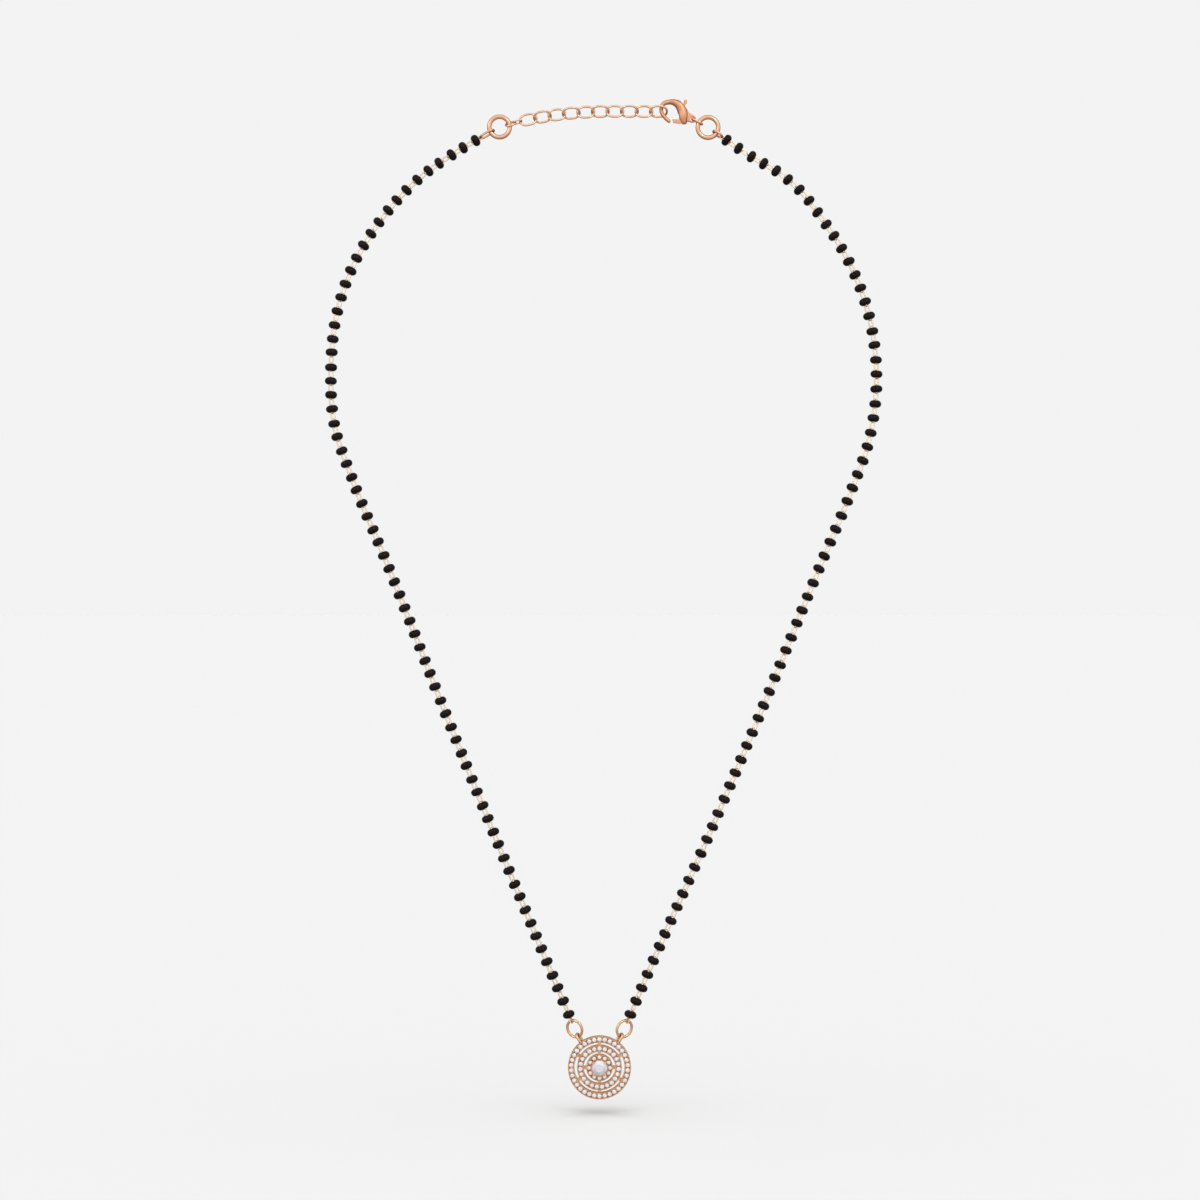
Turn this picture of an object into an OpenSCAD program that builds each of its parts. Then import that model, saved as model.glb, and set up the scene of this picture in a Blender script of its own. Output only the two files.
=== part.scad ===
// Mangalsutra: black beads on two fine chains, an extender with a lobster clasp, and a round
// pendant of three stone-set rings. It keeps the form in which it is worn.
// Millimetres, +Z up, front towards -Y. The origin is the top of the loop, where the nape carries it.

/* [Beads] */
// Outside diameter of a bead
bead_d = 2.45; // [2.2:0.05:2.8]
// Thickness of a bead along its string
bead_l = 1.55; // [1.3:0.05:1.8]
// Number of beads on the left string
left_beads = 70; // [60:1:76]
// Number of beads on the right string
right_beads = 68; // [60:1:74]
// Largest tilt of a bead on its string, in degrees
bead_sway = 5; // [0:1:6]
// Largest slip of a bead away from even spacing
bead_slip = 0.12; // [0:0.02:0.2]
// Clearance all round between a bead's hole and the thread
bead_play = 0.15; // [0.13:0.01:0.2]
// Gap between the end link and the first bead
bead_clear = 0.15; // [0.1:0.05:0.4]
// Gap between the last bead and the small jump ring
ring_to_bead = 0.34; // [0.2:0.02:0.6]

/* [Fine chain] */
// Diameter of the thread, the round path that the fine chain fills
thread_d = 0.95; // [0.8:0.05:1.05]
// Gap between a thread's end and the link that holds it
thread_clear = 0.1; // [0.1:0.05:0.2]
// Wire of the last link at the bottom of each thread
ring_link_wire = 0.27; // [0.22:0.01:0.28]
// Outside width of that last link
ring_link_w = 1.17; // [1:0.01:1.2]
// Distance between the wire centres at the two ends of that last link
ring_link_l = 1.23; // [1.1:0.01:1.4]

/* [Jump rings and end links] */
// Outside diameter of the two large jump rings
big_ring_d = 5; // [4.4:0.1:5.6]
// Wire of the large jump rings
big_ring_wire = 0.9; // [0.6:0.05:0.95]
// Outside diameter of the two small jump rings
small_ring_d = 4; // [3.4:0.1:4.4]
// Wire of the small jump rings
small_ring_wire = 0.52; // [0.34:0.02:0.54]
// Turn of the small jump rings away from facing the front, in degrees
small_ring_turn = 34; // [0:2:40]
// Lean of the small jump rings' pull away from the vertical, in degrees
small_ring_lean = 22; // [16:1:28]
// Wire of the end links at the top of the strings
end_link_wire = 0.45; // [0.4:0.01:0.5]
// Outside width of the end links
end_link_w = 2.1; // [2:0.01:2.2]
// Turn of the end links away from facing the front, in degrees
end_link_turn = 75; // [70:1:90]
// Reach of the left end link, from its ring's centre to the wire centre at its far end
left_reach = 4.35; // [4:0.05:4.7]
// Reach of the right end link, from its ring's centre to the wire centre at its far end
right_reach = 3.35; // [3.2:0.05:3.8]
// Gap between the wires of two pieces that are linked
link_play = 0.06; // [0.04:0.01:0.1]

/* [Extender] */
// Number of flat links of the extender
extender_links = 10; // [8:1:11]
// Wire of the extender's links
extender_wire = 0.42; // [0.36:0.01:0.5]
// Outside width of the extender's links
extender_w = 3.25; // [3.05:0.05:3.4]
// Turn of the extender's links to either side of the front, in degrees
extender_turn = 42; // [38:1:48]
// Turn of the whole extender about its length, in degrees
extender_tilt = 9; // [0:1:12]
// Outside width of the first link, which goes through the large ring
first_link_w = 2.15; // [2.1:0.01:2.2]
// Turn of the first link away from facing the front, in degrees
first_link_turn = 60; // [58:1:64]
// Reach of the first link, from its ring's centre to the wire centre at its far end
first_link_reach = 3.3; // [3.15:0.05:3.5]
// Wire of the small second link
second_link_wire = 0.26; // [0.22:0.01:0.28]
// Outside width of the second link
second_link_w = 1.26; // [1.2:0.01:1.3]
// Turn of the second link to the other side, in degrees
second_link_turn = 62; // [58:1:65]
// Distance from the large ring's centre to the joint between the second link and the flat ones
extender_reach = 4.46; // [4.2:0.02:4.8]

/* [Clasp] */
// Slack between the hook and the extender's last link
hook_slack = 0.45; // [0:0.05:0.5]
// Width of the clasp, from the hook's outside to the body's back
clasp_w = 5.6; // [5.4:0.05:5.8]
// Thickness of the clasp's body, seen from the front
clasp_body_t = 2.05; // [1.95:0.05:2.15]
// Depth of the clasp's body, front to back
clasp_depth = 2; // [1.9:0.05:2.4]
// Thickness of the lever's plate
lever_t = 0.65; // [0.5:0.05:0.8]
// Clearance on each side between the lever and its slot
lever_clear = 0.1; // [0.08:0.01:0.15]
// Diameter of the lever's pin
pin_d = 0.5; // [0.4:0.02:0.6]
// Radial clearance of the lever on its pin
pin_clear = 0.05; // [0.03:0.01:0.08]
// Thickness of the clasp's tail, front to back
tail_t = 0.7; // [0.6:0.05:0.75]
// Diameter of the hole in the tail
tail_hole_d = 0.8; // [0.7:0.02:0.9]
// Wall around the hole in the tail
tail_wall = 0.33; // [0.26:0.01:0.36]
// Wire of the link between the clasp and its large ring
clasp_link_wire = 0.42; // [0.36:0.01:0.46]
// Outside width of that link
clasp_link_w = 1.9; // [1.85:0.01:2]

/* [Pendant] */
// Diameter of the centre stone
centre_d = 2.92; // [2.6:0.02:3.2]
// Diameter of the halo's stones
halo_d = 0.8; // [0.7:0.02:0.9]
// Least gap between two stones of the halo
halo_gap = 0.25; // [0.22:0.01:0.4]
// Diameter of the stones in the middle and outer rings
pave_d = 0.94; // [0.8:0.02:1.1]
// Least gap between two stones of the middle and outer rings
pave_gap = 0.1; // [0.1:0.01:0.2]
// Gap between a stone and the metal around it
seat_gap = 0.05; // [0.04:0.01:0.08]
// Thickness of the rims beside the stones
rim_t = 0.14; // [0.1:0.01:0.2]
// Thickness of the bezel's wall around the centre stone
bezel_t = 0.12; // [0.1:0.01:0.16]
// Open gap between two neighbouring rings of the frame
ring_gap = 0.5; // [0.4:0.02:0.7]
// Height of the frame's back behind the pendant's mid-plane
frame_back = 1; // [0.65:0.05:1.2]
// Height of the rims in front of the pendant's mid-plane
frame_front = 0.45; // [0.4:0.05:0.6]
// Distance of the pendant's mid-plane in front of its lugs, so that it hangs straight
pendant_forward = 0.35; // [0.12:0.01:0.4]
// Height of the centre stone's girdle in front of the mid-plane
centre_seat = 0.62; // [0.58:0.02:0.8]
// Diameter of the small prongs between the stones
prong_d = 0.3; // [0.24:0.01:0.34]
// Rise of the small prongs above the rims
prong_rise = 0.1; // [0.06:0.01:0.14]
// Diameter of the four claws' stems
claw_d = 0.32; // [0.26:0.01:0.36]
// Rise of the claws above the centre stone's girdle
claw_rise = 0.3; // [0.26:0.02:0.4]
// Thickness of the claws' tips
claw_tip_t = 0.16; // [0.12:0.01:0.18]
// Lean of the claws' tips over the stone
claw_lean = 0.12; // [0.06:0.01:0.14]
// Width of the spokes between the rings
spoke_w = 0.7; // [0.5:0.05:0.9]
// Depth of the spokes, front to back
spoke_t = 0.75; // [0.6:0.05:0.9]
// Spokes between the outer and the middle ring
outer_spokes = 6; // [4:1:8]
// Spokes between the middle ring and the halo
inner_spokes = 4; // [3:1:6]
// Wire of the pendant's lugs
lug_wire = 0.54; // [0.44:0.01:0.56]
// Outside width of the lugs
lug_w = 1.9; // [1.85:0.01:1.95]
// Distance between the wire centres at the two ends of a lug
lug_l = 2; // [1.75:0.01:2.1]
// Turn of the lugs away from edge-on, in degrees
lug_turn = 20; // [14:1:26]
// Place of the lugs round the rim, in degrees from the top
lug_angle = 35; // [31:1:39]

/* [Cut of the stones] */
// Table's share of a stone's diameter
table_share = 0.56; // [0.5:0.01:0.62]
// Crown height as a share of the diameter
crown_share = 0.15; // [0.12:0.01:0.17]
// Pavilion depth as a share of the diameter
pavilion_share = 0.42; // [0.38:0.01:0.43]
// Girdle thickness as a share of the diameter
girdle_share = 0.03; // [0.02:0.01:0.04]

/* [Hidden] */
$fn = 48;

ROSE = [0.83, 0.55, 0.42];
PALE_ROSE = [0.88, 0.68, 0.56];
BLACK = [0.06, 0.04, 0.04];
CLEAR = [0.93, 0.93, 0.96];

// Routes are points of X and Z, chosen by hand. Each string runs from its large ring's centre
// to its small ring's centre, and the extender from the left ring's centre to the clasp's hook.
left_route = [
    [-20, -3.1], [-29.6, -8.7], [-34.5, -12.1], [-42.6, -20.2], [-48.6, -29.4], [-52.5, -40.3],
    [-53.7, -51.3], [-53, -62.8], [-49.4, -73.6], [-42.9, -89.4], [-30.7, -120.6],
    [-18.1, -151.8], [-4.96, -183.45]
];
right_route = [
    [21.7, -3.2], [30.5, -9.1], [36.1, -12.4], [40.4, -16.1], [44.2, -21], [50.3, -30.9],
    [54.1, -41.7], [55.4, -54.1], [54, -65.4], [50.1, -76.5], [43.7, -91.9],
    [32.8, -118.8], [21.3, -146], [11.9, -167.2], [4.96, -183.45]
];
// Centre of the clasp's eye
clasp_at = [14.26, 0];

// Sections of the clasp from the hook's tip round to the foot of the body:
// X and Z from the eye's centre as shares of clasp_w, thickness as a share of clasp_body_t
// and depth as a share of clasp_depth
clasp_sections = [
    [-0.07, -0.346, 0.36, 0.38], [-0.19, -0.235, 0.38, 0.4], [-0.338, 0, 0.39, 0.4],
    [-0.28, 0.255, 0.43, 0.48], [0.03, 0.34, 0.55, 0.66], [0.29, 0.23, 0.85, 0.9],
    [0.42, 0, 1, 1], [0.445, -0.21, 0.93, 0.98], [0.465, -0.36, 0.68, 0.8]
];
// Middle of the hook, where the last link of the extender goes through the clasp
hook_x = clasp_at.x + clasp_sections[2][0] * clasp_w;
extender_route = [[-20, -3.1], [-15.6, -1.9], [-9.8, -0.8], [0, 0], [8, 0], [hook_x, 0]];
// Lever's outline, X and Z from the eye's centre as shares of clasp_w: thumb tab, arm, tip
lever_outline = [
    [0.475, 0.41], [0.578, 0.41], [0.578, 0.31], [0.52, 0.25], [0.474, 0.14], [0.527, -0.03],
    [0.53, -0.12], [0.5, -0.27], [0.43, -0.41], [0.3, -0.425], [0.085, -0.405], [0.055, -0.28],
    [0.26, -0.29], [0.34, -0.22], [0.355, -0.1], [0.385, 0.1], [0.45, 0.27]
];
// Lever's pivot, in the same shares
lever_pivot = [0.44, -0.07];
// Slot that the lever turns in, in the same shares
slot_outline = [
    [0.41, 0.6], [0.76, 0.6], [0.76, 0.1], [0.555, 0.1], [0.555, -0.2], [0.52, -0.36],
    [0.54, -0.56], [0.04, -0.56], [0, -0.2], [0.31, -0.06], [0.335, 0.16]
];
// Middle of the tail's hole and the two ends of the tail's root, in the same shares
tail_at = [0.765, -0.27];
tail_root = [[0.53, 0.02], [0.53, -0.3]];

// Lengths that follow from the sizes above
bead_hole = thread_d + 2 * bead_play;
big_ring_r = (big_ring_d - big_ring_wire) / 2;
small_ring_r = (small_ring_d - small_ring_wire) / 2;
extender_joint = extender_wire + link_play;
hook_wire = clasp_sections[2][2] * clasp_body_t;
slot_t = lever_t + 2 * lever_clear;

halo_r = centre_d / 2 + 2 * seat_gap + bezel_t + halo_d / 2;
halo_out = halo_r + halo_d / 2 + seat_gap + rim_t;
ring_w = pave_d + 2 * seat_gap + 2 * rim_t;
middle_r = halo_out + ring_gap + ring_w / 2;
outer_r = middle_r + ring_w + ring_gap;
pendant_r = outer_r + ring_w / 2;
halo_count = 4 * floor(2 * PI * halo_r / (halo_d + halo_gap) / 4);
middle_count = floor(2 * PI * middle_r / (pave_d + pave_gap));
outer_count = floor(2 * PI * outer_r / (pave_d + pave_gap));
stone_seat = frame_front - seat_gap;
channel_floor = stone_seat - (pavilion_share + girdle_share) * pave_d - seat_gap;
claw_angle = (floor(halo_count / 8) + 0.5) * 360 / halo_count;

// Each lug's far end lies inside its small ring, and the pendant hangs its lugs' length below
lug_reach = small_ring_r - small_ring_wire / 2 - link_play - lug_wire / 2;
small_ring_at = left_route[len(left_route) - 1];
lug_end = small_ring_at + lug_reach * [sin(small_ring_lean), -cos(small_ring_lean)];
lug_rim = (pendant_r - lug_wire / 2) * [-sin(lug_angle), cos(lug_angle)];
pendant_z = lug_end.y - sqrt(lug_l ^ 2 - (lug_end.x - lug_rim.x) ^ 2) - lug_rim.y;

// Curves through a list of points of any dimension
function unit(v) = v / norm(v);
function gap_after(p, i) = norm(p[i + 1] - p[i]);
function heading(p, i) =
    i == 0 ? unit(p[1] - p[0]) :
    i == len(p) - 1 ? unit(p[i] - p[i - 1]) :
    (unit(p[i + 1] - p[i]) * gap_after(p, i - 1) + unit(p[i] - p[i - 1]) * gap_after(p, i))
    / (gap_after(p, i) + gap_after(p, i - 1));
function between(a, b, ha, hb, u) =
    a * (2 * u ^ 3 - 3 * u ^ 2 + 1) + ha * (u ^ 3 - 2 * u ^ 2 + u)
    + b * (3 * u ^ 2 - 2 * u ^ 3) + hb * (u ^ 3 - u ^ 2);
function smooth(p, steps) = concat(
    [for (i = [0:len(p) - 2], k = [0:steps - 1]) between(
        p[i], p[i + 1], heading(p, i) * gap_after(p, i), heading(p, i + 1) * gap_after(p, i), k / steps
    )],
    [p[len(p) - 1]]
);

// A ruler along a route: the route's X by length, its Z by length, and its whole length
function lengths(q) = [
    for (i = 0, s = 0; i < len(q); s = s + (i + 1 < len(q) ? gap_after(q, i) : 0), i = i + 1) s
];
function ruler(route) = let (q = smooth(route, 20), s = lengths(q)) [
    [for (i = [0:len(q) - 1]) [s[i], q[i].x]],
    [for (i = [0:len(q) - 1]) [s[i], q[i].y]],
    s[len(q) - 1]
];
function spot(r, s) = [lookup(s, r[0]), 0, lookup(s, r[1])];
function along(r, s) = unit(spot(r, s + 0.2) - spot(r, s - 0.2));

left_ruler = ruler(left_route);
right_ruler = ruler(right_route);
extender_ruler = ruler(extender_route);
// Each string: its ruler, its number of beads, its end link's reach and its own irregularity
left_string = [left_ruler, left_beads, left_reach, 11];
right_string = [right_ruler, right_beads, right_reach, 29];

function first_bead(s) = s[2] + end_link_wire / 2 + bead_clear + bead_l / 2;
function last_bead(s) = s[0][2] - small_ring_r - small_ring_wire / 2 - ring_to_bead - bead_l / 2;
function bead_even(s, k) = first_bead(s) + (last_bead(s) - first_bead(s)) * k / (s[1] - 1);
function ring_link_low(s) =
    s[0][2] - small_ring_r + small_ring_wire / 2 + link_play + ring_link_wire / 2;
function ring_link_high(s) = ring_link_low(s) - ring_link_l;
function thread_start(s) = s[2] + end_link_wire / 2 + thread_clear;
function thread_end(s) = ring_link_high(s) - ring_link_wire / 2 - thread_clear;
function extender_pitch() =
    (extender_ruler[2] + (hook_wire + link_play) / 2 + hook_slack - extender_reach) / extender_links;

module bead() {
    rotate_extrude()
        difference() {
            union() {
                translate([(bead_d - bead_l) / 2, 0]) circle(d = bead_l, $fn = 12);
                translate([0, -bead_l / 2]) square([(bead_d - bead_l) / 2, bead_l]);
            }
            translate([-bead_d, -bead_l]) square([bead_d + bead_hole / 2, 2 * bead_l]);
        }
}

// Beads of one string, each a little off even spacing and off square
module bead_string(s) {
    slips = rands(-bead_slip, bead_slip, s[1], s[3]);
    sways = rands(-bead_sway, bead_sway, s[1], s[3] + 1);
    nods = rands(-bead_sway / 2, bead_sway / 2, s[1], s[3] + 2);
    color(BLACK)
        for (k = [0:s[1] - 1]) {
            at_end = k == 0 || k == s[1] - 1;
            where = bead_even(s, k) + (at_end ? 0 : slips[k]);
            d = along(s[0], where);
            translate(spot(s[0], where))
                rotate([0, atan2(d.x, d.z), 0])
                    rotate([nods[k], sways[k], 0]) bead();
        }
}

// A round tube through the middle of every bead, one ring of points between two beads
module thread(s) {
    sides = 8;
    stations = concat(
        [thread_start(s)],
        [for (k = [0:s[1] - 2]) (bead_even(s, k) + bead_even(s, k + 1)) / 2],
        [thread_end(s)]
    );
    n = len(stations);
    points = [
        for (where = stations) let (d = along(s[0], where), c = spot(s[0], where))
        for (j = [0:sides - 1]) let (a = 360 * j / sides)
        c + thread_d / 2 * (cos(a) * [d.z, 0, -d.x] + sin(a) * [0, 1, 0])
    ];
    color(PALE_ROSE) polyhedron(points, tube_faces(n, sides), convexity = 10);
}

// Faces of a closed tube whose points are n rings of so many sides
function tube_faces(n, sides) = concat(
    [[for (j = [0:sides - 1]) j]],
    [for (i = [0:n - 2], j = [0:sides - 1]) let (k = (j + 1) % sides)
        [i * sides + j, (i + 1) * sides + j, (i + 1) * sides + k, i * sides + k]],
    [[for (j = [sides - 1:-1:0]) (n - 1) * sides + j]]
);

// A round wire ring with its centre at c; its plane holds the direction d and is turned about it
module wire_ring(c, outside, wire, d, turn) {
    translate([c.x, 0, c.y])
        rotate([0, -atan2(d.y, d.x), 0])
            rotate([90 + turn, 0, 0])
                rotate_extrude() translate([(outside - wire) / 2, 0]) circle(d = wire);
}

// An oval wire link; p and q are the wire's centres at its two ends
module link(p, q, wide, wire, turn) {
    d = q - p;
    bend_r = (wide - wire) / 2;
    // To 0.002 mm, so that the straight sides meet the bends exactly
    straight = round(500 * (norm(d) - 2 * bend_r)) / 500;
    translate((p + q) / 2)
        rotate([0, -atan2(d.z, d.x), 0])
            rotate([90 + turn, 0, 0])
                for (side = [-1, 1]) {
                    translate([side * straight / 2, 0, 0])
                        rotate([0, 0, -90 * side])
                            rotate_extrude(angle = 180) translate([bend_r, 0]) circle(d = wire);
                    translate([-straight / 2, side * bend_r, 0])
                        rotate([0, 90, 0]) cylinder(d = wire, h = straight);
                }
}

module end_link(s) {
    inner = big_ring_r - big_ring_wire / 2 - link_play - end_link_wire / 2;
    side = sign(spot(s[0], 0).x);
    color(ROSE)
        link(spot(s[0], inner), spot(s[0], s[2]), end_link_w, end_link_wire, side * end_link_turn);
}

module ring_link(s, side) {
    color(PALE_ROSE) link(
        spot(s[0], ring_link_high(s)), spot(s[0], ring_link_low(s)),
        ring_link_w, ring_link_wire, 90 - side * small_ring_turn
    );
}

module small_ring(side) {
    color(ROSE) wire_ring(
        [-side * small_ring_at.x, small_ring_at.y], small_ring_d, small_ring_wire,
        [-side * sin(small_ring_lean), -cos(small_ring_lean)], -side * small_ring_turn
    );
}

module extender_first_link() {
    inner = big_ring_r - big_ring_wire / 2 - link_play - extender_wire / 2;
    color(ROSE) link(
        spot(extender_ruler, inner), spot(extender_ruler, first_link_reach),
        first_link_w, extender_wire, -first_link_turn
    );
}

// The small link between the first link and the flat ones
module extender_second_link() {
    apart = (extender_wire + second_link_wire) / 2 + link_play;
    color(ROSE) link(
        spot(extender_ruler, first_link_reach - apart),
        spot(extender_ruler, extender_reach - extender_joint / 2 + apart),
        second_link_w, second_link_wire, second_link_turn
    );
}

// The last link's far end lies inside the hook, straight on from the route's end
module extender_link(k) {
    pitch = extender_pitch();
    from = extender_reach + (k - 1) * pitch - extender_joint / 2;
    past = extender_reach + k * pitch + extender_joint / 2;
    beyond = max(0, past - extender_ruler[2]);
    color(ROSE) link(
        spot(extender_ruler, from), spot(extender_ruler, past) + [beyond, 0, 0],
        extender_w, extender_wire, extender_tilt + (k % 2 == 1 ? -1 : 1) * extender_turn
    );
}

// Moves a shape drawn with X right and Y up into the clasp's place, facing the front
module on_clasp() {
    translate([clasp_at.x, 0, clasp_at.y]) rotate([90, 0, 0]) children();
}

// The clasp's rounded body and hook, one closed skin of oval sections with round ends
module clasp_skin() {
    sides = 16;
    cap_steps = 3;
    wide = [clasp_w, clasp_w, clasp_body_t, clasp_depth];
    rows = smooth([for (s = clasp_sections) [for (i = [0:3]) s[i] * wide[i]]], 4);
    n = len(rows);
    dirs = [for (i = [0:n - 1]) let (d = rows[min(i + 1, n - 1)] - rows[max(i - 1, 0)]) unit([d.x, d.y])];
    function cap(row, d, a) = [
        row.x + d.x * row.z / 2 * sin(a), row.y + d.y * row.z / 2 * sin(a),
        row.z * cos(a), row[3] * cos(a)
    ];
    angles = [for (k = [cap_steps:-1:1]) 85 * k / cap_steps];
    all_rows = concat(
        [for (a = angles) cap(rows[0], -dirs[0], a)],
        rows,
        [for (k = [cap_steps - 1:-1:0]) cap(rows[n - 1], dirs[n - 1], angles[k])]
    );
    all_dirs = concat([for (a = angles) dirs[0]], dirs, [for (a = angles) dirs[n - 1]]);
    points = [
        for (i = [0:len(all_rows) - 1]) let (row = all_rows[i], d = all_dirs[i])
        for (j = [0:sides - 1]) let (a = 360 * j / sides)
        [row.x - d.y * cos(a) * row.z / 2, row.y + d.x * cos(a) * row.z / 2, sin(a) * row[3] / 2]
    ];
    polyhedron(points, tube_faces(len(all_rows), sides), convexity = 6);
}

module clasp_tail() {
    linear_extrude(tail_t, center = true)
        hull() {
            translate(tail_at * clasp_w) circle(d = tail_hole_d + 2 * tail_wall, $fn = 32);
            for (p = tail_root) translate(p * clasp_w) circle(d = tail_wall, $fn = 16);
        }
}

module clasp_body() {
    color(ROSE) on_clasp() {
        difference() {
            union() {
                clasp_skin();
                clasp_tail();
            }
            linear_extrude(slot_t, center = true) polygon(slot_outline * clasp_w);
            translate([tail_at.x * clasp_w, tail_at.y * clasp_w, -tail_t])
                cylinder(d = tail_hole_d, h = 2 * tail_t);
        }
        translate([lever_pivot.x * clasp_w, lever_pivot.y * clasp_w, 0])
            cylinder(d = pin_d, h = slot_t + (clasp_depth - slot_t) / 2, center = true);
    }
}

module clasp_lever() {
    color(ROSE) on_clasp()
        linear_extrude(lever_t, center = true)
            difference() {
                polygon(lever_outline * clasp_w);
                translate(lever_pivot * clasp_w) circle(d = pin_d + 2 * pin_clear);
            }
}

module clasp_link() {
    hole = [clasp_at.x + tail_at.x * clasp_w, 0, clasp_at.y + tail_at.y * clasp_w];
    ring = [right_route[0].x, 0, right_route[0].y];
    in_ring = big_ring_r - big_ring_wire / 2 - link_play - clasp_link_wire / 2;
    color(ROSE) link(hole, ring - in_ring * unit(ring - hole), clasp_link_w, clasp_link_wire, 90);
}

// Moves a shape drawn with X right and Y up into the pendant's place, facing the front
module on_pendant() {
    translate([0, -pendant_forward, pendant_z]) rotate([90, 0, 0]) children();
}

// Copies of a shape round the pendant, the first at the given angle from the top
module around(count, r, start = 0) {
    for (k = [0:count - 1]) rotate([0, 0, -start - 360 * k / count]) translate([0, r, 0]) children();
}

// One ring of the frame: a channel between two rims
module channel_ring(r) {
    inner = r - ring_w / 2;
    outer = r + ring_w / 2;
    rotate_extrude()
        polygon([
            [inner, -frame_back], [outer, -frame_back], [outer, frame_front],
            [outer - rim_t, frame_front], [outer - rim_t, channel_floor],
            [inner + rim_t, channel_floor], [inner + rim_t, frame_front], [inner, frame_front]
        ]);
}

// The halo: a bezel and cone seat for the centre stone, with a channel round them
module halo_ring() {
    bezel_in = centre_d / 2 + seat_gap;
    seat_hole = 0.6 * bezel_in;
    seat_slope = 0.9;
    cone_top = centre_seat - (girdle_share * centre_d + 2 * seat_gap);
    cone_low = cone_top - (bezel_in - seat_hole) * seat_slope;
    bezel_top = centre_seat + seat_gap;
    rotate_extrude()
        polygon([
            [seat_hole, -frame_back], [halo_out, -frame_back], [halo_out, frame_front],
            [halo_out - rim_t, frame_front], [halo_out - rim_t, channel_floor],
            [bezel_in + bezel_t, channel_floor], [bezel_in + bezel_t, bezel_top],
            [bezel_in, bezel_top], [bezel_in, cone_top], [seat_hole, cone_low]
        ]);
}

// Pairs of prongs at the rims, between the stones of one ring
module prongs(count, r_in, r_out) {
    foot = channel_floor - seat_gap;
    for (r = [r_in, r_out])
        around(count, r, 180 / count)
            translate([0, 0, foot]) cylinder(d = prong_d, h = frame_front + prong_rise - foot);
}

module spokes(count, from, to) {
    length = to - from + rim_t;
    around(count, (from + to) / 2)
        translate([0, 0, (frame_front - frame_back) / 2])
            cube([spoke_w, length, spoke_t], center = true);
}

// Four claws beside the centre stone, each with a tip that leans over the stone's edge
module claws() {
    stem_r = centre_d / 2 + seat_gap + (bezel_t + claw_d) / 2;
    foot = channel_floor - seat_gap;
    top = centre_seat + claw_rise;
    around(4, stem_r, claw_angle)
        translate([0, 0, foot]) cylinder(d = claw_d, h = top - foot);
    around(4, stem_r - claw_lean, claw_angle)
        translate([0, 0, top - claw_tip_t / 2]) cylinder(d = 1.25 * claw_d, h = claw_tip_t);
}

module pendant_frame() {
    channel = ring_w / 2 - rim_t;
    color(ROSE) {
        on_pendant() {
            channel_ring(outer_r);
            channel_ring(middle_r);
            halo_ring();
            spokes(outer_spokes, middle_r + ring_w / 2, outer_r - ring_w / 2);
            spokes(inner_spokes, halo_out, middle_r - ring_w / 2);
            prongs(outer_count, outer_r - channel, outer_r + channel);
            prongs(middle_count, middle_r - channel, middle_r + channel);
            prongs(halo_count, halo_r - halo_d / 2, halo_out - rim_t);
            claws();
        }
        for (side = [-1, 1])
            link(
                [-side * lug_rim.x, 0, pendant_z + lug_rim.y], [-side * lug_end.x, 0, lug_end.y],
                lug_w, lug_wire, -side * (90 - lug_turn)
            );
    }
}

// A brilliant with eight sides: table, triangular crown facets, girdle and pavilion
module stone(d) {
    sides = 8;
    step = 360 / sides;
    half_girdle = girdle_share * d / 2;
    function ring_of(r, z, turn) = [
        for (k = [0:sides - 1]) [r * cos(k * step + turn), r * sin(k * step + turn), z]
    ];
    points = concat(
        ring_of(table_share * d / 2, half_girdle + crown_share * d, step / 2),
        ring_of(d / 2, half_girdle, 0),
        ring_of(d / 2, -half_girdle, 0),
        [[0, 0, -half_girdle - pavilion_share * d]]
    );
    culet = 3 * sides;
    faces = concat(
        [[for (k = [sides - 1:-1:0]) k]],
        [for (k = [0:sides - 1]) [k, (k + 1) % sides, sides + (k + 1) % sides]],
        [for (k = [0:sides - 1]) [sides + k, k, sides + (k + 1) % sides]],
        [for (k = [0:sides - 1]) let (n = (k + 1) % sides)
            [sides + k, sides + n, 2 * sides + n, 2 * sides + k]],
        [for (k = [0:sides - 1]) [2 * sides + k, 2 * sides + (k + 1) % sides, culet]]
    );
    polyhedron(points, faces, convexity = 2);
}

module stone_ring(count, r, d) {
    color(CLEAR) on_pendant()
        around(count, r) translate([0, 0, stone_seat]) stone(d);
}

module centre_stone() {
    color(CLEAR) on_pendant() translate([0, 0, centre_seat]) stone(centre_d);
}

bead_string(left_string);  // bead_string_left
bead_string(right_string);  // bead_string_right
thread(left_string);  // thread_left
thread(right_string);  // thread_right
color(ROSE) wire_ring(left_route[0], big_ring_d, big_ring_wire, [1, 0], 0);  // big_ring_left
color(ROSE) wire_ring(right_route[0], big_ring_d, big_ring_wire, [1, 0], 0);  // big_ring_right
end_link(left_string);  // end_link_left
end_link(right_string);  // end_link_right
small_ring(-1);  // small_ring_left
small_ring(1);  // small_ring_right
ring_link(left_string, -1);  // ring_link_left
ring_link(right_string, 1);  // ring_link_right
extender_first_link();
extender_second_link();
for (k = [1:extender_links])
    extender_link(k);
clasp_body();
clasp_lever();
clasp_link();
pendant_frame();
stone_ring(outer_count, outer_r, pave_d);  // outer_stones
stone_ring(middle_count, middle_r, pave_d);  // middle_stones
stone_ring(halo_count, halo_r, halo_d);  // halo_stones
centre_stone();
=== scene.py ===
"""Looks of the mangalsutra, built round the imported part. Metres, +Z up, front towards -Y."""

import math

import bmesh
import bpy
import numpy as np
from mathutils import Matrix, Vector

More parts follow.
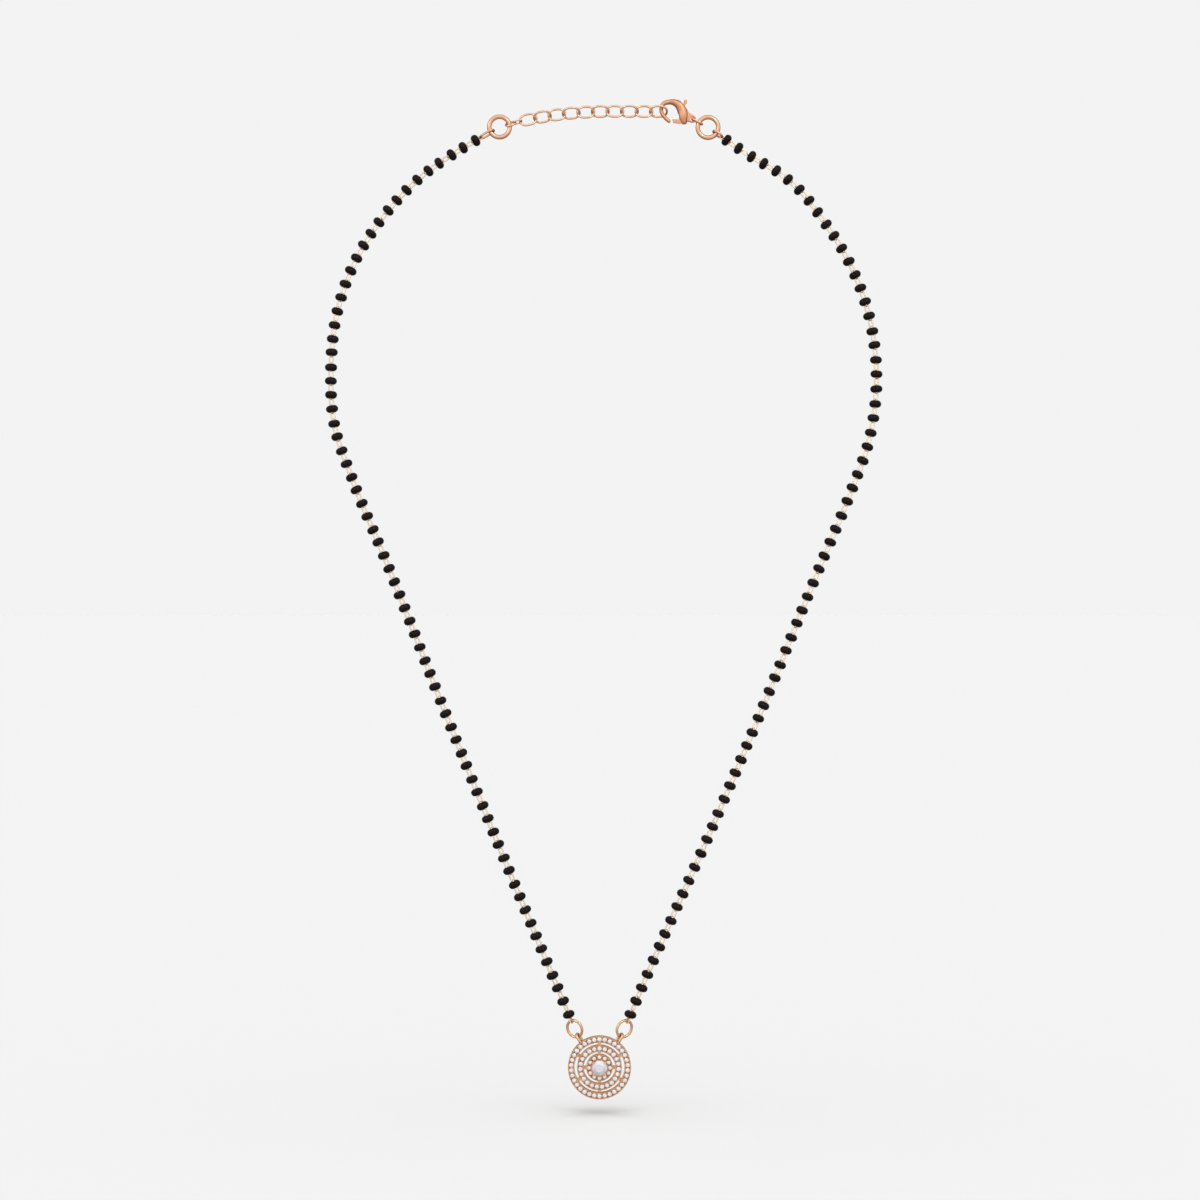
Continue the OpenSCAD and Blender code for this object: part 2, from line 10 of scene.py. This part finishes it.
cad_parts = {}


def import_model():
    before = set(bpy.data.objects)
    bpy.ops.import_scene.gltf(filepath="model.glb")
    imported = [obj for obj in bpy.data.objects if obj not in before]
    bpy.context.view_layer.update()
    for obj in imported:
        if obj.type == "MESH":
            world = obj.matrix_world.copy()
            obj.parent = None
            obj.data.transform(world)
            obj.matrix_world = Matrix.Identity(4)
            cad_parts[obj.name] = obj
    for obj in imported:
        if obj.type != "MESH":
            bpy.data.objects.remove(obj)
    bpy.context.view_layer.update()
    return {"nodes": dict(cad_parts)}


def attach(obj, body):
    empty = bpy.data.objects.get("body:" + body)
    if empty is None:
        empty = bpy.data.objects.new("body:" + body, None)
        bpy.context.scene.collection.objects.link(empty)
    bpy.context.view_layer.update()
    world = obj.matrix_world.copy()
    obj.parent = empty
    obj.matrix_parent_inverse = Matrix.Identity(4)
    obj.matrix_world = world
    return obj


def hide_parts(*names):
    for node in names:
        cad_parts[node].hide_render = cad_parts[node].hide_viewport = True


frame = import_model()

MM = 0.001
NODES = frame["nodes"]

# The picture's width in the object's plane, the point at its middle and the camera's distance
PICTURE_W = 240 * MM
PICTURE_MIDDLE = Vector((0.1 * MM, 0, -97.7 * MM))
CAMERA_AWAY = 600 * MM
FLOOR_Z = -200.2 * MM
FLOOR_TONE = 0.459
FLOOR_HALF = 60.0
# Width of the camera's picture in its own millimetres, which sets its lens
SENSOR = 36
# The soft lamp above: its width in degrees and its strength
OVERHEAD_WIDTH = 60
OVERHEAD_LIGHT = 3.6

# The studio's lightness by direction, from below (-1) to above (1), and from the front (-1) to the back (1)
ROOM_BY_HEIGHT = [(-1.0, 0.55), (-0.4, 0.72), (0.1, 1.08), (0.5, 1.2), (1.0, 1.3)]
ROOM_BY_DEPTH = [(-1.0, 1.05), (-0.5, 1.0), (0.0, 0.62), (0.5, 0.36), (1.0, 0.3)]

# Fine chain that the beads are threaded on; its links face the front in the gaps between beads
CHAIN_WIRE = 0.27 * MM
CHAIN_LINK_W = 0.98 * MM
CHAIN_PLAY = 0.03 * MM
CHAIN_SIDES = 8
CHAIN_STEPS = 8
# How far the first link's end lies inside the end link, and the last one's past the ring link
CHAIN_TO_END_LINK = 0.715 * MM
CHAIN_TO_RING_LINK = 0.535 * MM
# Turns of the right chain at its upper end and at its lower end, in degrees, across the links that hold it
CHAIN_TOP_TURN = 15
CHAIN_LOW_TURN = -56
# Links over which those turns die away, and the turn by which the free links drift, in degrees
CHAIN_HELD_LINKS = 8
CHAIN_DRIFT = 14
# Points of one ring of the thread's tube lie nearer to each other than this
TUBE_RING = 1.1 * MM

# Beads: outside radius, half thickness, hole's radius
BEAD_R = 1.225 * MM
BEAD_HALF = 0.775 * MM
BEAD_HOLE = 0.625 * MM
BEAD_SIDES = 28
BEAD_ROWS = 13
# The hole's lip and the end of its round part, as shares of its radius, and its straight half, of the bead's
BEAD_LIP = 1.08
BEAD_ROUND_HOLE = 1.2
BEAD_STRAIGHT = 0.6
# The thinnest bead, as a share, and how far a bead is off round in two and in three lobes
BEAD_THINNEST = 0.95
BEAD_OVAL = 0.012
BEAD_LOBED = 0.007

# Voxel of the softened castings, and rounds of smoothing
CAST_VOXEL = 0.05 * MM
CAST_ROUNDS = 10

# Prongs between the stones and claws round the centre stone
SEAT_GAP = 0.05 * MM
PRONG_R = 0.16 * MM
PRONG_OVER_GIRDLE = 0.15 * MM
CLAW_R = 0.21 * MM
CLAW_AT = 1.6 * MM
CLAW_OVER_GIRDLE = 0.3 * MM
CLAWS = 4
# Height of their round tips, as shares of the radius, and the tips' rows and sides
PRONG_HIGH = 0.7
CLAW_HIGH = 0.6
DOME_ROWS = 4
DOME_SIDES = 10

# Cut of the brilliants, as shares of the diameter
TABLE = 0.56
CROWN = 0.15
PAVILION = 0.42
GIRDLE = 0.03
# Its kites' points, as shares of their middle place and of the crown, and its pavilion's bend
KITE_OUT = 1.03
KITE_UP = 0.42
BEND_R = 0.35
BEND_DOWN = 0.68
# Width of a visible stone as a share of the solid's
STONE_FULL = 1.02


def linear(*rgb):
    """An sRGB colour from 0 to 255 as Blender's linear one."""
    return tuple((c / 255 / 12.92) if c <= 10 else ((c / 255 + 0.055) / 1.055) ** 2.4 for c in rgb)


ROSE = linear(234, 184, 152)
ROSE_DEEP = linear(226, 170, 134)
GOLDEN = linear(238, 196, 156)
GOLDEN_DEEP = linear(226, 174, 126)
COPPERY = linear(224, 166, 130)
COPPERY_DEEP = linear(206, 144, 104)
LIGHT_ROSE = linear(244, 199, 166)
LIGHT_DEEP = linear(234, 184, 148)
PALE_ROSE = linear(250, 230, 206)
PALE_DEEP = linear(240, 212, 180)
# Painted shade: what the metal's colour is multiplied by in its corners, where it is most hemmed in
PAINTED_SHADE_TINT = (0.38, 0.21, 0.12)
# Tint of the metal where it is seen at a glance
EDGE = (1.0, 0.8, 0.62, 1)
BACKGROUND = linear(243, 243, 243)


# Material helpers


class Shader:
    """A material's node tree, with a principled shader at its end."""

    def __init__(self, name):
        self.material = bpy.data.materials.new(name)
        self.material.use_nodes = True
        self.tree = self.material.node_tree
        self.out = self.tree.nodes["Principled BSDF"]
        self.place = self.node("ShaderNodeTexCoord").outputs["Object"]

    def node(self, kind, **values):
        made = self.tree.nodes.new(kind)
        for key, value in values.items():
            setattr(made, key, value)
        return made

    def link(self, a, b):
        self.tree.links.new(a, b)

    def put(self, **values):
        for key, value in values.items():
            self.out.inputs[key.replace("_", " ")].default_value = value

    def noise(self, size, detail=3, roughness=0.5, distortion=0.0):
        """Noise whose features are about the given size in metres."""
        n = self.node("ShaderNodeTexNoise")
        n.inputs["Scale"].default_value = 1 / size
        n.inputs["Detail"].default_value = detail
        n.inputs["Roughness"].default_value = roughness
        n.inputs["Distortion"].default_value = distortion
        self.link(self.place, n.inputs["Vector"])
        return n.outputs["Fac"]

    def ramp(self, value, stops):
        r = self.node("ShaderNodeValToRGB")
        ramp = r.color_ramp
        while len(ramp.elements) < len(stops):
            ramp.elements.new(0.5)
        for element, (at, colour) in zip(ramp.elements, stops):
            element.position = at
            element.color = (*colour, 1)
        self.link(value, r.inputs["Fac"])
        return r.outputs["Color"]

    def span(self, value, low, high):
        m = self.node("ShaderNodeMapRange")
        m.inputs["To Min"].default_value = low
        m.inputs["To Max"].default_value = high
        self.link(value, m.inputs["Value"])
        return m.outputs["Result"]

    def mix(self, fac, a, b, blend="MIX"):
        m = self.node("ShaderNodeMix", data_type="RGBA", blend_type=blend)
        if isinstance(fac, float):
            m.inputs["Factor"].default_value = fac
        else:
            self.link(fac, m.inputs["Factor"])
        self.link(a, m.inputs["A"])
        self.link(b, m.inputs["B"])
        return m.outputs["Result"]

    def occlusion(self, distance):
        ao = self.node("ShaderNodeAmbientOcclusion", samples=8)
        ao.inputs["Distance"].default_value = distance
        return ao.outputs["AO"]

    def bump(self, height, depth, strength=1.0):
        b = self.node("ShaderNodeBump")
        b.inputs["Strength"].default_value = strength
        b.inputs["Distance"].default_value = depth
        self.link(height, b.inputs["Height"])
        self.link(b.outputs["Normal"], self.out.inputs["Normal"])


def gold(name, colour, deep, roughness, grain, painted_shade_reach):
    """Plated metal: colour that shifts a little, darker in its corners by painted shade, with a fine grain.
    """
    s = Shader(name)
    tone = s.ramp(s.noise(1.6 * MM, 2), [(0.3, deep), (0.62, colour)])
    # Painted shade: the colour is multiplied darker where nearby metal occludes it, within the given reach
    painted_shade = s.ramp(s.occlusion(painted_shade_reach), [(0.1, PAINTED_SHADE_TINT), (0.7, (1, 1, 1))])
    s.link(s.mix(1.0, tone, painted_shade, "MULTIPLY"), s.out.inputs["Base Color"])
    s.link(s.span(s.noise(0.22 * MM, 4), roughness * 0.7, roughness * 1.35), s.out.inputs["Roughness"])
    s.put(Metallic=1.0, Specular_Tint=EDGE)
    s.bump(s.noise(0.07 * MM, 3), grain)
    return s.material


def black_glass():
    s = Shader("black_glass")
    tint = s.noise(4.2 * MM, 1)
    stops = [(0.35, (0.006, 0.002, 0.0015)), (0.5, (0.002, 0.0015, 0.002)), (0.65, (0.005, 0.003, 0.005))]
    s.link(s.ramp(tint, stops), s.out.inputs["Base Color"])
    s.link(s.span(s.noise(0.9 * MM, 3), 0.1, 0.3), s.out.inputs["Roughness"])
    s.put(IOR=1.24, Specular_Tint=(1.0, 0.78, 0.72, 1))
    s.bump(s.noise(0.9 * MM, 2), 0.05 * MM)
    return s.material


# Stones only partly see-through: the rest of their pale colour is painted sparkle, standing in for the light
# a cut stone sends back from inside; its pinkish tint varies at random
def stone_with_painted_sparkle(name, colour, warm, see_through):
    s = Shader(name)
    tint = s.ramp(s.noise(0.9 * MM, 1), [(0.38, warm), (0.6, colour)])
    s.link(tint, s.out.inputs["Base Color"])
    s.put(Roughness=0.02, IOR=2.1, Transmission_Weight=see_through)
    return s.material


def backdrop():
    s = Shader("backdrop")
    s.link(s.ramp(s.noise(3 * MM, 2), [(0.3, (FLOOR_TONE,) * 3), (0.7, (FLOOR_TONE + 0.002,) * 3)]),
           s.out.inputs["Base Color"])
    s.put(Roughness=1.0, Specular_IOR_Level=0.0)
    return s.material


# Mesh helpers


def make(name, verts, faces, material, body, smooth=True):
    """A piece from points and faces, riding on a body of the part."""
    mesh = bpy.data.meshes.new(name)
    mesh.from_pydata([tuple(v) for v in verts], [], faces)
    mesh.update()
    if smooth:
        mesh.shade_smooth()
    piece = bpy.data.objects.new(name, mesh)
    bpy.context.scene.collection.objects.link(piece)
    mesh.materials.append(material)
    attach(piece, body)
    return piece


def islands(node):
    """The separate solids of a CAD node, as arrays of their points."""
    bm = bmesh.new()
    bm.from_mesh(NODES[node].data)
    bmesh.ops.remove_doubles(bm, verts=bm.verts, dist=1e-6)
    seen, found = set(), []
    for start in bm.verts:
        if start in seen:
            continue
        seen.add(start)
        todo, part = [start], []
        while todo:
            v = todo.pop()
            part.append(v.co.copy())
            for e in v.link_edges:
                other = e.other_vert(v)
                if other not in seen:
                    seen.add(other)
                    todo.append(other)
        found.append(np.array(part))
    bm.free()
    return found


def swept(path, closed, radius, sides, ups):
    """Points and faces of a round wire along a path; ups are directions off the path."""
    verts, faces = [], []
    n = len(path)
    for i, p in enumerate(path):
        before = path[i - 1] if i or closed else p
        after = path[(i + 1) % n] if i < n - 1 or closed else p
        d = after - before
        d = d / np.linalg.norm(d)
        a = ups[i] - d * (ups[i] @ d)
        a = a / np.linalg.norm(a)
        b = np.cross(d, a)
        for j in range(sides):
            t = 2 * math.pi * j / sides
            verts.append(p + radius * (math.cos(t) * a + math.sin(t) * b))
    for i in range(n if closed else n - 1):
        for j in range(sides):
            k, m = (j + 1) % sides, (i + 1) % n
            faces.append((i * sides + j, i * sides + k, m * sides + k, m * sides + j))
    return verts, faces


def add_to(verts, faces, more):
    base = len(verts)
    verts.extend(more[0])
    faces.extend([tuple(base + i for i in f) for f in more[1]])


def softened(name, node, body, material):
    """A copy of a cast piece with its edges and steps rounded off, in the place of the piece."""
    copy = bpy.data.objects.new(name, NODES[node].data.copy())
    bpy.context.scene.collection.objects.link(copy)
    remesh = copy.modifiers.new("remesh", "REMESH")
    remesh.mode = "VOXEL"
    remesh.voxel_size = CAST_VOXEL
    smooth = copy.modifiers.new("smooth", "SMOOTH")
    smooth.factor = 0.5
    smooth.iterations = CAST_ROUNDS
    bpy.context.view_layer.update()
    seen = copy.evaluated_get(bpy.context.evaluated_depsgraph_get())
    mesh = bpy.data.meshes.new_from_object(seen)
    bpy.data.objects.remove(copy)
    mesh.materials.clear()
    mesh.materials.append(material)
    mesh.shade_smooth()
    piece = bpy.data.objects.new(name, mesh)
    bpy.context.scene.collection.objects.link(piece)
    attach(piece, body)
    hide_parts(node)


# Fine chain


def route(node):
    """Middle points of a thread's tube, from its top end down, at its rings of points."""
    left = np.unique(np.round(np.array([v.co for v in NODES[node].data.vertices]), 7), axis=0)
    rings = []
    while len(left):
        near = np.linalg.norm(left - left[0], axis=1) < TUBE_RING
        rings.append(left[near].mean(0))
        left = left[~near]
    rings = np.array(rings)
    order = [int(np.argmax(rings[:, 2]))]
    rest = set(range(len(rings))) - set(order)
    while rest:
        last = rings[order[-1]]
        nearest = min(rest, key=lambda i: np.linalg.norm(rings[i] - last))
        order.append(nearest)
        rest.remove(nearest)
    return rings[order]


def oval(centre, along, across, length, width):
    """Points round an oval link's centre line, whose length and width are given."""
    r = width / 2
    straight = max(0.0, length / 2 - r)
    points = []
    for side in (1, -1):
        for k in range(CHAIN_STEPS + 1):
            t = math.pi * (k / CHAIN_STEPS - 0.5)
            points.append(centre + side * (along * (straight + r * math.cos(t)) + across * r * math.sin(t)))
    return points


def unit(v):
    return v / np.linalg.norm(v)


def fine_chain(name, thread, hand, seed):
    """Links from inside the end link down to the ring link; a link faces the front in each gap."""
    tube = route(thread)
    start = tube[0] + unit(tube[0] - tube[1]) * CHAIN_TO_END_LINK
    end = tube[-1] + unit(tube[-1] - tube[-2]) * CHAIN_TO_RING_LINK
    gaps = tube[1:-1]
    grip = (CHAIN_WIRE + CHAIN_PLAY) / 2
    joints = [start + unit(tube[1] - tube[0]) * grip]
    first = gaps[0] * 2 - gaps[1]
    joints.append(first + (gaps[0] - first) / 4)
    for a, b in zip(gaps, gaps[1:]):
        joints += [a - (b - a) / 4, a + (b - a) / 4]
    step = gaps[-1] - gaps[-2]
    joints += [gaps[-1] - step / 4, gaps[-1] + step / 4, end - unit(step) * grip]
    count = len(joints) - 1
    rng = np.random.default_rng(seed)
    depth = np.array((0, 1, 0.0))
    verts, faces = [], []
    for k, (a, b) in enumerate(zip(joints, joints[1:])):
        along = unit(b - a)
        side = np.cross(along, depth)
        near_top = max(0, 1 - k / CHAIN_HELD_LINKS)
        near_low = max(0, 1 - (count - 1 - k) / CHAIN_HELD_LINKS)
        drift = rng.uniform(-CHAIN_DRIFT, CHAIN_DRIFT) * (1 - max(near_top, near_low))
        held = hand * (CHAIN_TOP_TURN * near_top + CHAIN_LOW_TURN * near_low)
        turn = math.radians(drift + held + 90 * (k % 2))
        across = side * math.cos(turn) + depth * math.sin(turn)
        line = oval((a + b) / 2, along, across, np.linalg.norm(b - a) + 2 * grip, CHAIN_LINK_W - CHAIN_WIRE)
        normal = np.cross(along, across)
        add_to(verts, faces, swept(line, True, CHAIN_WIRE / 2, CHAIN_SIDES, [normal] * len(line)))
    piece = make(name, verts, faces, PALE_GOLD, "necklace")
    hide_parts(thread)


# Beads


def beads(name, node, seed):
    """Smooth beads in the places of a string's solids, each a little off round."""
    rng = np.random.default_rng(seed)
    bend = BEAD_R - BEAD_HALF
    start = math.acos((BEAD_HOLE * BEAD_LIP - bend) / BEAD_HALF)
    profile = [(BEAD_HOLE, z * BEAD_HALF) for z in (-BEAD_STRAIGHT, BEAD_STRAIGHT)]
    for k in range(BEAD_ROWS):
        t = start - 2 * start * k / (BEAD_ROWS - 1)
        profile.append((bend + BEAD_HALF * math.cos(t), BEAD_HALF * math.sin(t)))
    verts, faces = [], []
    for part in islands(node):
        centre = part.mean(0)
        axes = np.linalg.eigh(np.cov((part - centre).T))[1]
        axis, u = axes[:, 0], axes[:, 2]
        v = np.cross(axis, u)
        phase = rng.uniform(0, 2 * math.pi, 2)
        thin = rng.uniform(BEAD_THINNEST, 1.0)
        placed = []
        for r, z in profile:
            for j in range(BEAD_SIDES):
                t = 2 * math.pi * j / BEAD_SIDES
                wide = 1 + BEAD_OVAL * math.sin(2 * t + phase[0]) + BEAD_LOBED * math.sin(3 * t + phase[1])
                r_here = r * wide if r > BEAD_HOLE * BEAD_ROUND_HOLE else r
                placed.append(centre + r_here * (math.cos(t) * u + math.sin(t) * v) + thin * z * axis)
        rows = len(profile)
        sides = [
            (i * BEAD_SIDES + j, i * BEAD_SIDES + (j + 1) % BEAD_SIDES,
             (i + 1) % rows * BEAD_SIDES + (j + 1) % BEAD_SIDES, (i + 1) % rows * BEAD_SIDES + j)
            for i in range(rows) for j in range(BEAD_SIDES)
        ]
        add_to(verts, faces, (placed, sides))
    piece = make(name, verts, faces, BEAD, "necklace")
    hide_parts(node)


# Cut stones


def brilliant(d):
    """Points and faces of a round brilliant facing -Y: table, stars, kites, halves and pavilion."""
    r = d / 2
    half_girdle = GIRDLE * d / 2
    verts, faces = [], []

    def ring(radius, depth, count, turn):
        start = len(verts)
        for k in range(count):
            t = 2 * math.pi * (k + turn) / count
            verts.append((radius * math.cos(t), -depth, radius * math.sin(t)))
        return [start + k for k in range(count)]

    table = ring(TABLE * r, half_girdle + CROWN * d, 8, 0.5)
    kite = ring((TABLE + 1) / 2 * r * KITE_OUT, half_girdle + CROWN * d * KITE_UP, 8, 0)
    high = ring(r, half_girdle, 16, 0)
    low = ring(r, -half_girdle, 16, 0)
    middle = ring(r * BEND_R, -half_girdle - PAVILION * d * BEND_DOWN, 8, 0.5)
    verts.append((0, half_girdle + PAVILION * d, 0))
    culet = len(verts) - 1
    faces.append(tuple(table))
    for k in range(8):
        n = (k + 1) % 8
        faces.append((table[k - 1], kite[k], table[k]))
        faces.append((table[k], kite[k], high[2 * k + 1]))
        faces.append((table[k], high[2 * k + 1], kite[n]))
        faces.append((kite[k], high[2 * k], high[2 * k + 1]))
        faces.append((kite[n], high[2 * k + 1], high[2 * n]))
        faces.append((middle[k], low[2 * k + 1], low[2 * k]))
        faces.append((middle[k], low[2 * n], low[2 * k + 1]))
        faces.append((middle[k - 1], middle[k], low[2 * k]))
        faces.append((middle[k - 1], culet, middle[k]))
    for k in range(16):
        n = (k + 1) % 16
        faces.append((high[k], low[k], low[n], high[n]))
    return [np.array(v) for v in verts], faces


def brilliants(name, node, material):
    """Round brilliants in the places of a node's stones; returns their girdles' middles and diameter."""
    parts = islands(node)
    places = []
    rng = np.random.default_rng(len(parts))
    verts, faces = [], []
    for part in parts:
        lo, hi = part.min(0), part.max(0)
        centre = (lo + hi) / 2
        d = hi[0] - lo[0]
        # The girdle lies where the stone is widest
        girdle_y = part[np.argsort(-np.hypot(part[:, 0] - centre[0], part[:, 2] - centre[2]))[:8], 1].mean()
        turn = Matrix.Rotation(rng.uniform(0, math.pi / 4), 3, "Y")
        shape, sides = brilliant(d * STONE_FULL)
        place = np.array((centre[0], girdle_y, centre[2]))
        places.append(place)
        add_to(verts, faces, ([np.array(turn @ Vector(v)) + place for v in shape], sides))
    piece = make(name, verts, faces, material, "pendant", smooth=False)
    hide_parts(node)
    return np.array(places), d


def dome(place, radius, height):
    """A low round tip that faces the front."""
    verts, faces = [], []
    for k in range(DOME_ROWS):
        t = math.pi / 2 * k / DOME_ROWS
        for j in range(DOME_SIDES):
            a = 2 * math.pi * j / DOME_SIDES
            r = radius * math.cos(t)
            verts.append(place + np.array((r * math.cos(a), -height * math.sin(t), r * math.sin(a))))
    verts.append(place + np.array((0, -height, 0)))
    for k in range(DOME_ROWS - 1):
        low, high = k * DOME_SIDES, (k + 1) * DOME_SIDES
        for j in range(DOME_SIDES):
            n = (j + 1) % DOME_SIDES
            faces.append((low + j, low + n, high + n, high + j))
    last = (DOME_ROWS - 1) * DOME_SIDES
    faces += [(last + j, last + (j + 1) % DOME_SIDES, last + DOME_SIDES) for j in range(DOME_SIDES)]
    faces.append(tuple(range(DOME_SIDES - 1, -1, -1)))
    return verts, faces


def prong_tips(name, rings, middle):
    """Round tips on the prongs between neighbouring stones and on the claws."""
    verts, faces = [], []
    for places, d in rings:
        flat = places[:, [0, 2]] - middle[[0, 2]]
        radius = np.linalg.norm(flat, axis=1).mean()
        angles = np.sort(np.arctan2(flat[:, 1], flat[:, 0]))
        for k, a in enumerate(angles):
            step = (angles[(k + 1) % len(angles)] - a) % (2 * math.pi)
            mid = a + step / 2
            for r in (radius - d / 2 - SEAT_GAP, radius + d / 2 + SEAT_GAP):
                place = np.array((middle[0] + r * math.cos(mid), places[0, 1] - PRONG_OVER_GIRDLE,
                                  middle[2] + r * math.sin(mid)))
                add_to(verts, faces, dome(place, PRONG_R, PRONG_R * PRONG_HIGH))
    for k in range(CLAWS):
        a = math.pi / 4 + 2 * math.pi / CLAWS * k
        place = np.array((middle[0] + CLAW_AT * math.cos(a), middle[1] - CLAW_OVER_GIRDLE,
                          middle[2] + CLAW_AT * math.sin(a)))
        add_to(verts, faces, dome(place, CLAW_R, CLAW_R * CLAW_HIGH))
    make(name, verts, faces, YELLOWER, "pendant")


# Stage, lights and camera


def floor():
    """A wide plain floor as light as the background, so that no horizon shows."""
    corners = [(-FLOOR_HALF, -FLOOR_HALF), (FLOOR_HALF, -FLOOR_HALF), (FLOOR_HALF, FLOOR_HALF),
               (-FLOOR_HALF, FLOOR_HALF)]
    mesh = bpy.data.meshes.new("floor")
    mesh.from_pydata([(x, y, FLOOR_Z) for x, y in corners], [], [(0, 1, 2, 3)])
    piece = bpy.data.objects.new("floor", mesh)
    bpy.context.scene.collection.objects.link(piece)
    mesh.materials.append(backdrop())
    piece.visible_glossy = False


def lamp(name, kind, place, aim):
    light = bpy.data.lights.new(name, kind)
    made = bpy.data.objects.new(name, light)
    bpy.context.scene.collection.objects.link(made)
    made.location = place
    made.rotation_euler = (aim - Vector(place)).to_track_quat("-Z", "Y").to_euler()
    made.visible_camera = False
    return made, light


def softbox(name, place, size, radiance):
    """A soft light that shows in metal and glass alone, of the given radiance."""
    made, light = lamp(name, "AREA", place, PICTURE_MIDDLE)
    light.shape = "RECTANGLE"
    light.size, light.size_y = size
    light.energy = radiance * math.pi * size[0] * size[1]
    made.visible_diffuse = False


def overhead():
    """A wide soft lamp right above for the floor, which gives the pendant its small shadow."""
    made, light = lamp("overhead", "SUN", (0, 0, 1), Vector((0, 0, 0)))
    light.energy = OVERHEAD_LIGHT
    light.angle = math.radians(OVERHEAD_WIDTH)
    made.visible_glossy = False
    made.visible_transmission = False


def grey_ramp(tree, value, stops):
    span = tree.nodes.new("ShaderNodeMapRange")
    span.inputs["From Min"].default_value = -1
    span.inputs["From Max"].default_value = 1
    tree.links.new(value, span.inputs["Value"])
    ramp = tree.nodes.new("ShaderNodeValToRGB")
    while len(ramp.color_ramp.elements) < len(stops):
        ramp.color_ramp.elements.new(0.5)
    for element, (at, grey) in zip(ramp.color_ramp.elements, stops):
        element.position = (at + 1) / 2
        element.color = (grey, grey, grey, 1)
    tree.links.new(span.outputs["Result"], ramp.inputs["Fac"])
    return ramp.outputs["Color"]


def world():
    """A studio that is lighter above and in front, seen in the object; the camera sees it plain."""
    w = bpy.data.worlds.new("studio")
    bpy.context.scene.world = w
    w.use_nodes = True
    tree = w.node_tree
    split = tree.nodes.new("ShaderNodeSeparateXYZ")
    tree.links.new(tree.nodes.new("ShaderNodeTexCoord").outputs["Generated"], split.inputs[0])
    by_height = grey_ramp(tree, split.outputs["Z"], ROOM_BY_HEIGHT)
    by_depth = grey_ramp(tree, split.outputs["Y"], ROOM_BY_DEPTH)
    room = tree.nodes.new("ShaderNodeMix")
    room.data_type = "RGBA"
    room.blend_type = "MULTIPLY"
    room.inputs["Factor"].default_value = 1
    tree.links.new(by_height, room.inputs["A"])
    tree.links.new(by_depth, room.inputs["B"])
    seen = tree.nodes.new("ShaderNodeMix")
    seen.data_type = "RGBA"
    seen.inputs["B"].default_value = (*BACKGROUND, 1)
    tree.links.new(room.outputs["Result"], seen.inputs["A"])
    tree.links.new(tree.nodes.new("ShaderNodeLightPath").outputs["Is Camera Ray"], seen.inputs["Factor"])
    tree.links.new(seen.outputs["Result"], tree.nodes["Background"].inputs["Color"])


def camera():
    data = bpy.data.cameras.new("camera")
    data.sensor_width = SENSOR
    data.lens = SENSOR * CAMERA_AWAY / PICTURE_W
    data.clip_start = 0.01
    data.clip_end = 20
    cam = bpy.data.objects.new("camera", data)
    bpy.context.scene.collection.objects.link(cam)
    cam.location = PICTURE_MIDDLE - Vector((0, CAMERA_AWAY, 0))
    cam.rotation_euler = (math.pi / 2, 0, 0)
    bpy.context.scene.camera = cam


camera()
floor()
world()
overhead()
softbox("key", place=(0.5, -1.0, 0.7), size=(0.35, 0.35), radiance=5.0)
softbox("fill", place=(-0.9, -0.8, 0.5), size=(0.3, 0.6), radiance=3.0)

# The last figure of each metal is how far the painted shade in its corners reaches
GOLD = gold("rose_gold", ROSE, ROSE_DEEP, roughness=0.2, grain=0.004 * MM, painted_shade_reach=0.5 * MM)
YELLOWER = gold("golden_rose", GOLDEN, GOLDEN_DEEP, roughness=0.24, grain=0.004 * MM, painted_shade_reach=0.5 * MM)
SATIN = gold("satin_rose_gold", COPPERY, COPPERY_DEEP, roughness=0.34, grain=0.008 * MM,
             painted_shade_reach=0.4 * MM)
SETTING = gold("setting_gold", GOLDEN, GOLDEN_DEEP, roughness=0.24, grain=0.004 * MM, painted_shade_reach=1.0 * MM)
PALE_GOLD = gold("pale_rose_gold", PALE_ROSE, PALE_DEEP, roughness=0.22, grain=0.003 * MM,
                 painted_shade_reach=0.3 * MM)
LINKS = gold("light_rose_gold", LIGHT_ROSE, LIGHT_DEEP, roughness=0.2, grain=0.004 * MM, painted_shade_reach=0.4 * MM)
BEAD = black_glass()
# Pale colours of the stones: partly painted sparkle in place of the light sent back from inside
PAVE = stone_with_painted_sparkle("pave_stone", (0.97, 0.92, 0.92), (0.97, 0.82, 0.77), 0.3)
CENTRE = stone_with_painted_sparkle("centre_stone_look", (0.93, 0.93, 1.0), (0.95, 0.90, 0.94), 0.5)

LOOKS = {"bead": BEAD, "clasp_body": SATIN, "clasp_lever": SATIN, "ring_link": PALE_GOLD, "thread": PALE_GOLD,
         "small_ring": YELLOWER, "extender": LINKS, "pendant_frame": SETTING,
         "outer_stones": PAVE, "middle_stones": PAVE, "halo_stones": PAVE, "centre_stone": CENTRE}
for name, obj in NODES.items():
    obj.data.materials.clear()
    obj.data.materials.append(next((m for start, m in LOOKS.items() if name.startswith(start)), GOLD))

softened("cast_clasp_body", "clasp_body", "necklace", SATIN)
fine_chain("fine_chain_left", "thread_left", -1, 5)
fine_chain("fine_chain_right", "thread_right", 1, 6)
beads("beads_left", "bead_string_left", 7)
beads("beads_right", "bead_string_right", 8)
stone_rings = [brilliants("outer_brilliants", "outer_stones", PAVE),
               brilliants("middle_brilliants", "middle_stones", PAVE),
               brilliants("halo_brilliants", "halo_stones", PAVE)]
centre_place = brilliants("centre_brilliant", "centre_stone", CENTRE)[0][0]
prong_tips("prong_tips", stone_rings, centre_place)

bpy.context.scene.view_settings.view_transform = "Standard"
